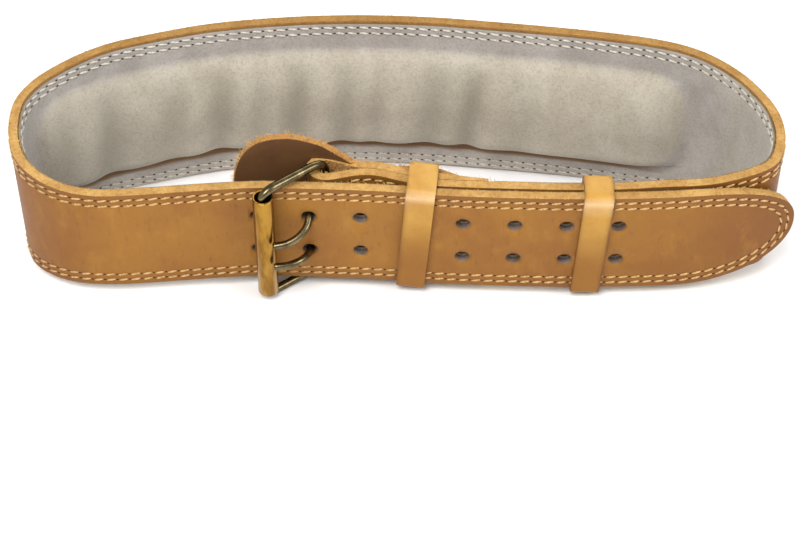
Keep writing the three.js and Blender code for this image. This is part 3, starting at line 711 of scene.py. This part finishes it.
def inner_side(ring, from_thin_end):
    """The shorter long side of a section, run from its thinner end, or from its left end."""
    thin, _, inner, _ = sorted(walls(ring), key=run_length)
    if from_thin_end:
        reverse = nearness(inner[-1], thin) < nearness(inner[0], thin)
    else:
        reverse = inner[-1].x < inner[0].x
    return bend_points(inner[::-1] if reverse else inner)


def line_through(points, name):
    """A smooth curve through points that lie in one plane."""
    data = bpy.data.curves.new(name, "CURVE")
    data.dimensions = "3D"
    data.twist_mode = "Z_UP"
    data.resolution_u = 8
    spline = data.splines.new("BEZIER")
    spline.bezier_points.add(len(points) - 1)
    for knot, point in zip(spline.bezier_points, points):
        knot.co = point
        knot.handle_left_type = "AUTO"
        knot.handle_right_type = "AUTO"
    line = bpy.data.objects.new(name, data)
    bpy.context.collection.objects.link(line)
    return line


def moved_out(points, distance):
    """The points moved out to the right of the way they run."""
    moved = []
    for i, point in enumerate(points):
        along = points[min(i + 1, len(points) - 1)] - points[max(i - 1, 0)]
        moved.append(point + Vector((along.y, -along.x, 0)).normalized() * distance)
    return moved


strap_side = inner_side(section("belt_leather"), from_thin_end=True)
STRAP_LINE = line_through(moved_out(strap_side, LEATHER / 2), "strap_line")
guard_side = inner_side(section("buckle_guard"), from_thin_end=False)
GUARD_LINE = line_through(moved_out(guard_side, GUARD / 2), "guard_line")


def bend_round(piece, line):
    """Stands a flat piece up, its upper face outward, and bends it along a line of the belt."""
    piece.rotation_euler = (RIGHT_ANGLE, 0, 0)
    pick(piece)
    bpy.ops.object.transform_apply(location=True, rotation=True, scale=True)
    apply_modifier(piece, "CURVE", object=line, deform_axis="POS_X")
    stand_in_frame(piece)
    rest_on_floor(piece)


# The strap's outline on the bench: x along the strap, y up, z outward


def half_height(x):
    narrowed = smooth_step(abs(x - BACK - TAPER_SHIFT), TAPER_START, TAPER_END)
    height = blend(BACK_HEIGHT, FRONT_HEIGHT, narrowed) / 2
    from_tip = max(STRAP_END - x, 0)
    if from_tip >= TIP_LENGTH:
        return height
    return height * (1 - (1 - from_tip / TIP_LENGTH) ** TIP_POWER) ** (1 / TIP_POWER)


def strap_edges(x, inset=0):
    half = max(half_height(x + inset) - inset, 0)
    return -half, half


def columns(start, end, rounded=0):
    """Places of a sheet's columns, closer together in a rounded end."""
    count = round((end - rounded - start) / COLUMN_STEP)
    places = [blend(start, end - rounded, i / count) for i in range(count)]
    steps = 30 if rounded else 0
    places += [end - rounded * (1 - i / steps) ** 2 for i in range(steps)]
    return [*places, end]


def closed_end(low, high, i):
    return (high[i] - low[i]).length < MM


def inward(rim, other):
    """The way into the sheet at each point of a rim, turned round any end where the two rims meet."""
    first = other[1] if closed_end(rim, other, 0) else rim[0]
    last = other[-2] if closed_end(rim, other, -1) else rim[-1]
    run = [first, *rim, last]
    half = len(rim) // 2
    upper = rim[half].y > other[half].y
    ways = []
    for before, after in zip(run, run[2:]):
        along = (after - before).normalized()
        way = Vector((-along.y, along.x, 0))
        ways.append(-way if upper else way)
    return ways


def rows_inside(rim, other, insets):
    """Rows that follow a rim at each inset, sunk as the inset says."""
    ways = inward(rim, other)
    rows = []
    for inset, depth in insets:
        sunk = Vector((0, 0, -depth))
        rows.append([point + way * inset + sunk for point, way in zip(rim, ways)])
    return rows


def flat_sheet(name, places, edges_at, insets, cuts):
    """A sheet on the bench, with rows that follow its two rims and evenly spaced rows between."""
    low = [Vector((x, edges_at(x)[0], 0)) for x in places]
    high = [Vector((x, edges_at(x)[1], 0)) for x in places]
    lower_rows = rows_inside(low, high, insets)
    upper_rows = rows_inside(high, low, insets)[::-1]
    middle_rows = []
    for cut in range(1, cuts + 1):
        share = cut / (cuts + 1)
        middle_rows.append([a.lerp(b, share) for a, b in zip(lower_rows[-1], upper_rows[0])])
    rows = lower_rows + middle_rows + upper_rows
    last_column, last_row = len(places) - 1, len(rows) - 1
    bpy.ops.mesh.primitive_grid_add(x_subdivisions=last_column, y_subdivisions=last_row, size=1)
    piece = named(bpy.context.object, name)
    for point in piece.data.vertices:
        column = round((point.co.x + 0.5) * last_column)
        row = round((point.co.y + 0.5) * last_row)
        point.co = rows[row][column]
    start_edit(piece)
    bpy.ops.mesh.remove_doubles(threshold=SHEET_MERGE)
    end_edit()
    return piece


def rim_rows(first):
    """Insets and depths of the rows that follow a sheet's rim, each seam sunk a little."""
    rows = [(0, 0), (first, 0)]
    for inset in SEAM_INSETS:
        rows += [(inset - SEAM_HALF, 0), (inset, SEAM_DIP), (inset + SEAM_HALF, 0)]
    return rows


def paint(piece, name, value_at):
    """Paints a number on each point of a piece from its place on the bench."""
    layer = piece.data.attributes.new(name, "FLOAT", "POINT")
    for point, mark in zip(piece.data.vertices, layer.data):
        mark.value = value_at(point.co)


def from_strap_edge(place):
    return half_height(place.x) - abs(place.y)


def thickness_added(piece, thickness, bevel, rim_slot, side=-1):
    apply_modifier(piece, "SOLIDIFY", thickness=thickness, offset=side, material_offset_rim=rim_slot)
    bevelled(piece, bevel, 2)


def cut_with(piece, cutters):
    cutter = joined(cutters, "cutter")
    apply_modifier(piece, "BOOLEAN", object=cutter, operation="DIFFERENCE", solver="EXACT")
    drop(cutter)


def hole_cutter(x, y):
    """A punch for one hole, its mouth flared where the punch has pressed the grain down."""
    bpy.ops.mesh.primitive_cylinder_add(
        vertices=HOLE_SIDES, radius=HOLE_WIDTH / 2, depth=CUTTER_REACH, location=(x, y, 0)
    )
    piece = bpy.context.object
    bpy.ops.object.transform_apply(location=True, rotation=True, scale=True)
    for point in piece.data.vertices:
        point.co.z = LEATHER / 2 - HOLE_FLARE if point.co.z > 0 else -CUTTER_REACH
    start_edit(piece)
    choose_faces(piece, lambda face: face.normal.z > LEVEL)
    for rise, widen in HOLE_MOUTH:
        bpy.ops.mesh.extrude_region_move(TRANSFORM_OT_translate={"value": (0, 0, rise)})
        bpy.ops.transform.resize(value=(widen, widen, 1), center_override=(x, y, 0))
    end_edit()
    return piece


def hole_cutters():
    cutters = []
    for column in range(HOLE_COLUMNS):
        for side in (-1, 1):
            cutters.append(hole_cutter(PRONG_HOLE + (column - 1) * HOLE_PITCH, side * HOLE_SPREAD / 2))
    return cutters


def block(size, place, bevel=0):
    bpy.ops.mesh.primitive_cube_add(size=1, location=place)
    piece = bpy.context.object
    piece.scale = size
    bpy.ops.object.transform_apply(location=True, rotation=True, scale=True)
    if bevel:
        apply_modifier(piece, "BEVEL", width=bevel, segments=3)
    return piece


def upright(sides, radius, height):
    bpy.ops.mesh.primitive_cylinder_add(vertices=sides, radius=radius, depth=height)
    return bpy.context.object


def hollowed(piece, wall):
    """Opens an upright shape from end to end and leaves its wall."""
    start_edit(piece)
    choose_faces(piece, lambda face: abs(face.normal.z) > LEVEL)
    bpy.ops.mesh.inset(thickness=wall)
    bpy.ops.mesh.bridge_edge_loops()
    end_edit()
    return piece


def slot_cutters():
    size = (SLOT_LENGTH, SLOT_WIDTH, CUTTER_REACH)
    return [block(size, (EYE, side * HOLE_SPREAD / 2, 0), SLOT_CORNER) for side in (-1, 1)]


def divided(piece, cuts):
    """Divides every face of a cutter."""
    start_edit(piece)
    bpy.ops.mesh.subdivide(number_cuts=cuts)
    end_edit()
    return piece


def pressed_block(x, y, width, height):
    """A stamp's block that sinks to the design's depth, its walls leaning in toward its foot."""
    place = (DESIGN_MIDDLE + x, PAD_RISE + y, LEATHER / 2)
    piece = block((width, height, DESIGN_DEPTH * 2), place)
    for point in piece.data.vertices:
        lean = DESIGN_DRAFT if point.co.z > LEATHER / 2 else -DESIGN_DRAFT
        point.co.x += math.copysign(lean, point.co.x - place[0])
        point.co.y += math.copysign(lean, point.co.y - place[1])
    return divided(piece, BLOCK_CUTS)


def pressed_frame():
    """A stamp's frame with cut corners, its sides straight along the strap and across it."""
    half_side = math.pi / DESIGN_SIDES
    piece = upright(DESIGN_SIDES, 0.5 / math.cos(half_side), DESIGN_DEPTH * 2)
    piece.rotation_euler = (0, 0, half_side)
    bpy.ops.object.transform_apply(location=True, rotation=True, scale=True)
    piece.scale = (*DESIGN_SIZE, 1)
    piece.location = (DESIGN_MIDDLE, PAD_RISE, LEATHER / 2)
    bpy.ops.object.transform_apply(location=True, rotation=True, scale=True)
    return divided(hollowed(piece, DESIGN_FRAME), FRAME_CUTS)


def in_design(face):
    """Whether a face was pressed below the grain by the design's stamp."""
    x, y = face.center.x - DESIGN_MIDDLE, face.center.y
    inside = abs(x) < DESIGN_SIZE[0] * 0.6 and abs(y) < DESIGN_SIZE[1] * 0.6
    below_grain = LEATHER / 2 - face.center.z
    return inside and DESIGN_DEPTH * 0.05 < below_grain < DESIGN_DEPTH * 1.1


def in_hole(face):
    """Whether a face is the wall of a hole or slot: upright, away from the rim and below the flare."""
    wall = abs(face.normal.z) < UPRIGHT and face.center.z < LEATHER / 2 - MM
    return wall and from_strap_edge(face.center) > HOLE_MARGIN


def press_design(piece):
    cut_with(piece, [pressed_frame(), pressed_block(0, 0, *BAR_SIZE)])
    blocks = []
    for x, width, height in WEIGHTS:
        blocks += [pressed_block(side * x, 0, width, height) for side in (-1, 1)]
    cut_with(piece, blocks)
    for face in piece.data.polygons:
        if in_design(face):
            face.material_index = PRESSED_SLOT


def strap_leather():
    places = columns(0, STRAP_END, TIP_LENGTH)
    piece = flat_sheet("strap_leather", places, strap_edges, rim_rows(STRAP_FIRST_ROW), STRAP_ROWS)
    for point in piece.data.vertices:
        point.co.z += LEATHER / 2
    for material in (GRAIN, CUT_EDGE, PRESSED, FLESH, HOLE_WALLS):
        piece.data.materials.append(material)
    thickness_added(piece, LEATHER, STRAP_BEVEL, EDGE_SLOT)
    for point in piece.data.vertices:
        skived = min(LEATHER, blend(SKIVE_EDGE, LEATHER, point.co.x / SKIVE_LENGTH)) - LEATHER / 2
        point.co.z = min(point.co.z, skived)
    for face in piece.data.polygons:
        if face.normal.z < -LEVEL:
            face.material_index = FLESH_SLOT
    cut_with(piece, hole_cutters())
    cut_with(piece, slot_cutters())
    for face in piece.data.polygons:
        if in_hole(face):
            face.material_index = WALL_SLOT
    press_design(piece)
    paint(piece, "from_edge", from_strap_edge)
    bend_round(piece, STRAP_LINE)
    return finished(piece, ["belt_leather"], 50)


# The padded lining


def pad_inside(x, y):
    """Distance from a place on the bench in to the pad's rounded outline."""
    across = abs(x - PAD_MIDDLE) - PAD_LENGTH / 2 + PAD_CORNER
    up = abs(y - PAD_RISE) - PAD_HEIGHT / 2 + PAD_CORNER
    outside = math.hypot(max(across, 0), max(up, 0))
    return PAD_CORNER - outside - min(max(across, up), 0)


def pad_folds(place):
    """How deep the pad's folds are at a place, as a share of its depth."""
    above = place.y - PAD_RISE
    along = (place.x - PAD_MIDDLE + PAD_FOLD_LEAN * above) / (PAD_LENGTH / 2)
    fading = 1 - PAD_FOLD_FADE * smooth_step(above, 0, PAD_HEIGHT * 0.45)
    total = 0
    for middle, depth, width in PAD_FOLDS:
        away = (along - middle) * PAD_LENGTH / 2 / width
        total += depth * math.exp(-away * away)
    return total * fading


def pad_bottom(x):
    """Where the pad's lower edge lies, drawn up a little by each fold."""
    drawn_up = PAD_SCALLOP * pad_folds(Vector((x, PAD_RISE, 0))) / DEEP_FOLD
    return PAD_RISE - PAD_HEIGHT / 2 + drawn_up


def pad_swell(place):
    """How far the pad swells at a place: quickly from its lower edge, and softly from the others."""
    up = min(max((place.y - pad_bottom(place.x)) / PAD_ROLLS["bottom"], 0), 1)
    shape = math.sqrt(1 - (1 - up) ** 2)
    across = PAD_LENGTH / 2 - abs(place.x - PAD_MIDDLE)
    from_top = PAD_RISE + PAD_HEIGHT / 2 - place.y
    inside = pad_inside(place.x, max(place.y, PAD_RISE))
    for distance, side in [(from_top, "top"), (across, "end"), (inside, "corner")]:
        share = min(max(distance / PAD_ROLLS[side], 0), 1)
        shape *= share * (2 - share)
    uneven = noise.noise(Vector((place.x, place.y, 0)) * PAD_LUMPS) * PAD_UNEVEN
    return PAD_DEPTH * shape * (PAD_FULL - pad_folds(place) + uneven)


def pad_shadow_line(place):
    """Painted shadow under the pad's lower edge: 1 just below the edge, fading to 0 beside it and toward
    the pad's ends.
    """
    along = abs(place.x - PAD_MIDDLE) / (PAD_LENGTH / 2)
    off = abs(place.y - pad_bottom(place.x) + PAD_SHADOW_BELOW) / PAD_SHADOW_WIDTH
    return min(max(0, 1 - off) * 2.5, 1) * (1 - smooth_step(along, *PAD_SHADOW_ENDS))


def margin_shade(place):
    """Painted shade beside the pad: 1 beside it, 0 on it, and less toward the strap's ends."""
    inside = pad_inside(place.x, place.y)
    faded = PAD_MARGIN_FADE * smooth_step(-inside, *PAD_MARGIN)
    return (1 - smooth_step(inside, 0, PAD_MARGIN_EDGE)) * (1 - faded)


def fold_shade(place):
    """How much shade is painted into the pad's folds, fading toward its outline."""
    depth = min(pad_folds(place) / DEEP_FOLD, 1)
    return depth * smooth_step(pad_inside(place.x, place.y), 0, PAD_SHADE_EDGE)


def lining_edges(x):
    return strap_edges(x, LINING_INSET)


def padded_lining():
    places = columns(LINING_START, STRAP_END - LINING_INSET, TIP_LENGTH)
    rows = [(max(inset - LINING_INSET, 0), -depth) for inset, depth in rim_rows(LINING_FIRST_ROW)]
    piece = flat_sheet("padded_lining", places, lining_edges, rows, LINING_ROWS)
    for material in (SUEDE, LINING_EDGE):
        piece.data.materials.append(material)
    for point in piece.data.vertices:
        point.co.z -= LEATHER / 2 + SEAT_GAP + LINING
    thickness_added(piece, LINING, LINING_BEVEL, LINING_EDGE_SLOT, side=1)
    paint(piece, "margin", margin_shade)
    paint(piece, "under_pad_shadow", pad_shadow_line)
    paint(piece, "fold", fold_shade)
    middle = -LEATHER / 2 - SEAT_GAP - LINING * 0.6
    for point in piece.data.vertices:
        if point.co.z < middle:
            point.co.z -= pad_swell(point.co)
    cut_with(piece, hole_cutters())
    bend_round(piece, STRAP_LINE)
    finished(piece, ["suede_lining", "lumbar_pad"], 50)
    return piece


# Stitches


def seam_points(inset, start):
    """A seam's run on the bench: along the upper edge, round the tip and back along the lower edge."""
    upper = []
    step = 4 * MM
    tip_steps = 24
    count = int((STRAP_END - start) / step)
    places = [start + i * step for i in range(count) if start + i * step < STRAP_END - TIP_LENGTH]
    places += [STRAP_END - TIP_LENGTH * (1 - i / tip_steps) ** 2 for i in range(tip_steps + 1)]
    for x in places:
        before, after = max(x - MM / 4, 0), min(x + MM / 4, STRAP_END)
        along = Vector((after - before, half_height(after) - half_height(before), 0)).normalized()
        upper.append(Vector((x, half_height(x), 0)) + Vector((along.y, -along.x, 0)) * inset)
    lower = [Vector((point.x, -point.y, 0)) for point in reversed(upper[:-1])]
    return upper + lower


def stitch(thread):
    """One stitch on the bench, half sunk, with the needle's hole that it comes out of as a dark blob of
    painted shade.
    """
    bpy.ops.mesh.primitive_uv_sphere_add(segments=8, ring_count=6, radius=0.5)
    yarn = bpy.context.object
    yarn.rotation_euler = (0, RIGHT_ANGLE, math.radians(STITCH_LEAN))
    yarn.scale = (STITCH_WIDTH, STITCH_WIDTH, STITCH_LENGTH)
    yarn.location = (STITCH_PITCH / 2, 0, STITCH_RISE)
    bpy.ops.object.transform_apply(location=True, rotation=True, scale=True)
    yarn.data.materials.append(thread)
    bpy.ops.mesh.primitive_uv_sphere_add(segments=8, ring_count=4, radius=0.5)
    hole = bpy.context.object
    hole.scale = (NEEDLE_HOLE, NEEDLE_HOLE * 0.8, NEEDLE_HOLE_DEPTH)
    bpy.ops.object.transform_apply(location=True, rotation=True, scale=True)
    hole.data.materials.append(NEEDLE_HOLES)
    return joined([hole, yarn], "stitch")


def repeated(piece, step, **fit):
    """Repeats a piece along x, a step apart."""
    apply_modifier(
        piece,
        "ARRAY",
        use_relative_offset=False,
        use_constant_offset=True,
        constant_offset_displace=(step, 0, 0),
        **fit,
    )


def seam(thread, inset, start, face, outward):
    """One seam of stitches on the bench, on the side of the strap that outward says."""
    line = line_through(seam_points(inset, start), "seam")
    piece = stitch(thread)
    repeated(piece, STITCH_PITCH, fit_type="FIT_CURVE", curve=line)
    apply_modifier(piece, "CURVE", object=line, deform_axis="POS_X")
    drop(line)
    for point in piece.data.vertices:
        point.co.z = point.co.z * outward + face
    if outward < 0:
        start_edit(piece)
        bpy.ops.mesh.flip_normals()
        end_edit()
    return piece


def stitches(name, thread, start, face, outward):
    piece = joined([seam(thread, inset, start, face, outward) for inset in SEAM_INSETS], name)
    bend_round(piece, STRAP_LINE)
    return finished(piece, [])


# The buckle's guard


def guard_edges(x):
    flare = smooth_step(-x, -GUARD_FLARE[0], -GUARD_FLARE[1])
    height = blend(GUARD_NECK_HEIGHT, GUARD_PADDLE_HEIGHT, flare)
    beyond = min(max(1 - x / GUARD_ROUND, 0), 1)
    half = height / 2 * (1 - beyond**GUARD_POWER) ** (1 / GUARD_POWER)
    half += noise.noise(Vector((x * GUARD_WAVES, 0.3, 0))) * GUARD_WAVER * (1 - beyond)
    rise = GUARD_PADDLE_RISE * flare
    return rise - half, rise + half


def buckle_guard():
    rounded = [GUARD_ROUND * (i / 20) ** 2 for i in range(20)]
    straight = columns(0, GUARD_LINE.data.splines[0].calc_length())
    places = rounded + [x for x in straight if x > GUARD_ROUND]
    piece = flat_sheet("guard_leather", places, guard_edges, GUARD_RIM_ROWS, GUARD_ROWS)
    for material in (GUARD_GRAIN, FLESH, FLESH):
        piece.data.materials.append(material)
    for point in piece.data.vertices:
        point.co.z += GUARD / 2
    thickness_added(piece, GUARD, GUARD_BEVEL, GUARD_RIM_SLOT)
    for face in piece.data.polygons:
        if face.normal.z < -LEVEL:
            face.material_index = GUARD_FLESH_SLOT
    bend_round(piece, GUARD_LINE)
    return finished(piece, ["buckle_guard"], 50)


# Loose fibres


def fibres(piece, name, count, longest, wanted):
    """Fibres that stand out of a piece's faces, where wanted accepts the face."""
    faces = [face for face in piece.data.polygons if wanted(face)]
    bpy.ops.mesh.primitive_cone_add(vertices=3, radius1=0.5, radius2=0.15, depth=1)
    tuft = named(bpy.context.object, name)
    tuft.data.materials.append(FUZZ)
    size = len(tuft.data.vertices)
    step = 2
    repeated(tuft, step, count=count)
    for i in range(count):
        face = random.choice(faces)
        corners = [piece.data.vertices[corner].co for corner in face.vertices]
        place = corners[0].lerp(corners[2], random.random()).lerp(corners[1], random.random() * 0.5)
        wander = Vector([random.uniform(-1, 1) for _ in range(3)])
        turn = (face.normal + wander * FIBRE_LEAN).to_track_quat("Z", "Y")
        length = longest * random.uniform(0.3, 1)
        for point in tuft.data.vertices[i * size : (i + 1) * size]:
            own = point.co - Vector((step, 0, 0)) * i
            sized = Vector((own.x * FIBRE_WIDTH, own.y * FIBRE_WIDTH, (own.z + 0.4) * length))
            point.co = place + turn @ sized
    return finished(tuft, [])


def on_guard_rim(face):
    return face.material_index == GUARD_RIM_SLOT


def in_fold(face):
    """Whether one of the strap's raw faces lies inside the fold, next to the buckle's bar."""
    start = MIDDLE.x + FOLD_START
    beside_bar = start < face.center.x < start + FOLD_LENGTH and face.center.z > FOLD_LOW
    return face.material_index == FLESH_SLOT and beside_bar


def on_strap_rim(face):
    """Whether a face is on the strap's rim and looks up."""
    return face.material_index == EDGE_SLOT and face.normal.z > 0.5


# Keepers, buckle and rivets


def keeper_sides(piece):
    """The least and the greatest x in each level slab of a keeper."""
    sides = {}
    for point in piece.data.vertices:
        x, slab = point.co.x, round(point.co.z / KEEPER_SLAB)
        low, high = sides.get(slab, (x, x))
        sides[slab] = (min(low, x), max(high, x))
    return sides


def keeper(node):
    """A keeper: a leather band with soft edges, with a painted highlight below its upper bend, and
    painted where it is burnished.
    """
    piece = node_in_quads(node, KEEPER)
    bevelled(piece, KEEPER_BEVEL, 2)
    subdivided(piece)
    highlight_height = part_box(node)[1].z - HIGHLIGHT_DROP
    sides = keeper_sides(piece)

    def painted_highlight(place):
        return max(0, 1 - abs(highlight_height - place.z) / HIGHLIGHT_HALF)

    def rim(place):
        low, high = sides[round(place.z / KEEPER_SLAB)]
        return max(0, 1 - min(place.x - low, high - place.x) / KEEPER_RIM)

    paint(piece, "painted_highlight", painted_highlight)
    paint(piece, "rim", rim)
    named(piece, node + "_band")
    return finished(piece, [node], 45)


def wire(node):
    """A bent wire: the faceted one of the frame, filled out and rounded."""
    piece = node_in_quads(node, BRONZE)
    start_edit(piece)
    bpy.ops.transform.shrink_fatten(value=WIRE_SWELLS[node])
    end_edit()
    subdivided(piece)
    named(piece, node + "_wire")
    return finished(piece, [node], 60)


def roller():
    """The roller: a tube of rolled sheet with rounded ends."""
    piece = hollowed(upright(ROLLER_SIDES, ROLLER_WIDTH / 2, ROLLER_HEIGHT), ROLLER_WALL)
    named(piece, "buckle_roller_tube")
    piece.data.materials.append(BRASS)
    bevelled(piece, ROLLER_BEVEL, 3)
    stand_in_frame(piece)
    return finished(piece, ["buckle_roller"], 50)


def rivet(node):
    """A tubular rivet with rolled edges."""
    piece = node_in_quads(node, BRONZE)
    bevelled(piece, RIVET_BEVEL, 2, math.radians(50))
    subdivided(piece)
    named(piece, node + "_tube")
    return finished(piece, [node], 50)


strap = strap_leather()
padded_lining()
stitches("outer_stitches", OUTER_THREAD, OUTER_SEAM_START, OUTER_FACE, 1)
stitches("inner_stitches", INNER_THREAD, INNER_SEAM_START, INNER_FACE, -1)
guard = buckle_guard()
random.seed(FIBRE_SEED)
fibres(guard, "guard_fibres", *GUARD_FIBRES, on_guard_rim)
fibres(strap, "fold_fibres", *FOLD_FIBRES, in_fold)
fibres(strap, "edge_fibres", *EDGE_FIBRES, on_strap_rim)
keeper("keeper_fixed")
keeper("keeper_sliding")
for node in WIRE_SWELLS:
    wire(node)
roller()
for number in range(1, 5):
    rivet(f"rivet_{number}")
drop(STRAP_LINE)
drop(GUARD_LINE)


# Floor, lights and camera


def studio_floor():
    bpy.ops.mesh.primitive_plane_add(size=FLOOR_SIZE)
    floor = named(bpy.context.object, "floor")
    floor.data.materials.append(floor_finish("floor"))


def area_light(name, place, size, power):
    """A square lamp that looks at the belt's middle on the floor."""
    bpy.ops.object.light_add(type="AREA", location=place)
    lamp = bpy.context.object
    lamp.name = name
    lamp.data.size = size
    lamp.data.energy = power
    lamp.rotation_euler = (-Vector(place)).to_track_quat("-Z", "Y").to_euler()


def studio_lights():
    for name, (place, size, power) in LIGHTS.items():
        area_light(name, place, size, power)
    world = bpy.data.worlds.new("studio")
    world.use_nodes = True
    background = world.node_tree.nodes["Background"]
    background.inputs["Color"].default_value = (1, 1, 1, 1)
    background.inputs["Strength"].default_value = WORLD_LIGHT
    bpy.context.scene.world = world
    bpy.context.scene.view_settings.view_transform = "Standard"


def camera():
    away = Vector((0, -math.cos(CAMERA_ELEVATION), math.sin(CAMERA_ELEVATION)))
    bpy.ops.object.camera_add(location=CAMERA_AIM + away * CAMERA_DISTANCE)
    made = bpy.context.object
    made.rotation_euler = (RIGHT_ANGLE - CAMERA_ELEVATION, 0, 0)
    made.data.lens = CAMERA_LENS
    made.data.shift_y = (AIM_ROW - IMAGE_SIZE[1] / 2) / IMAGE_SIZE[0]
    bpy.context.scene.camera = made


studio_floor()
studio_lights()
camera()
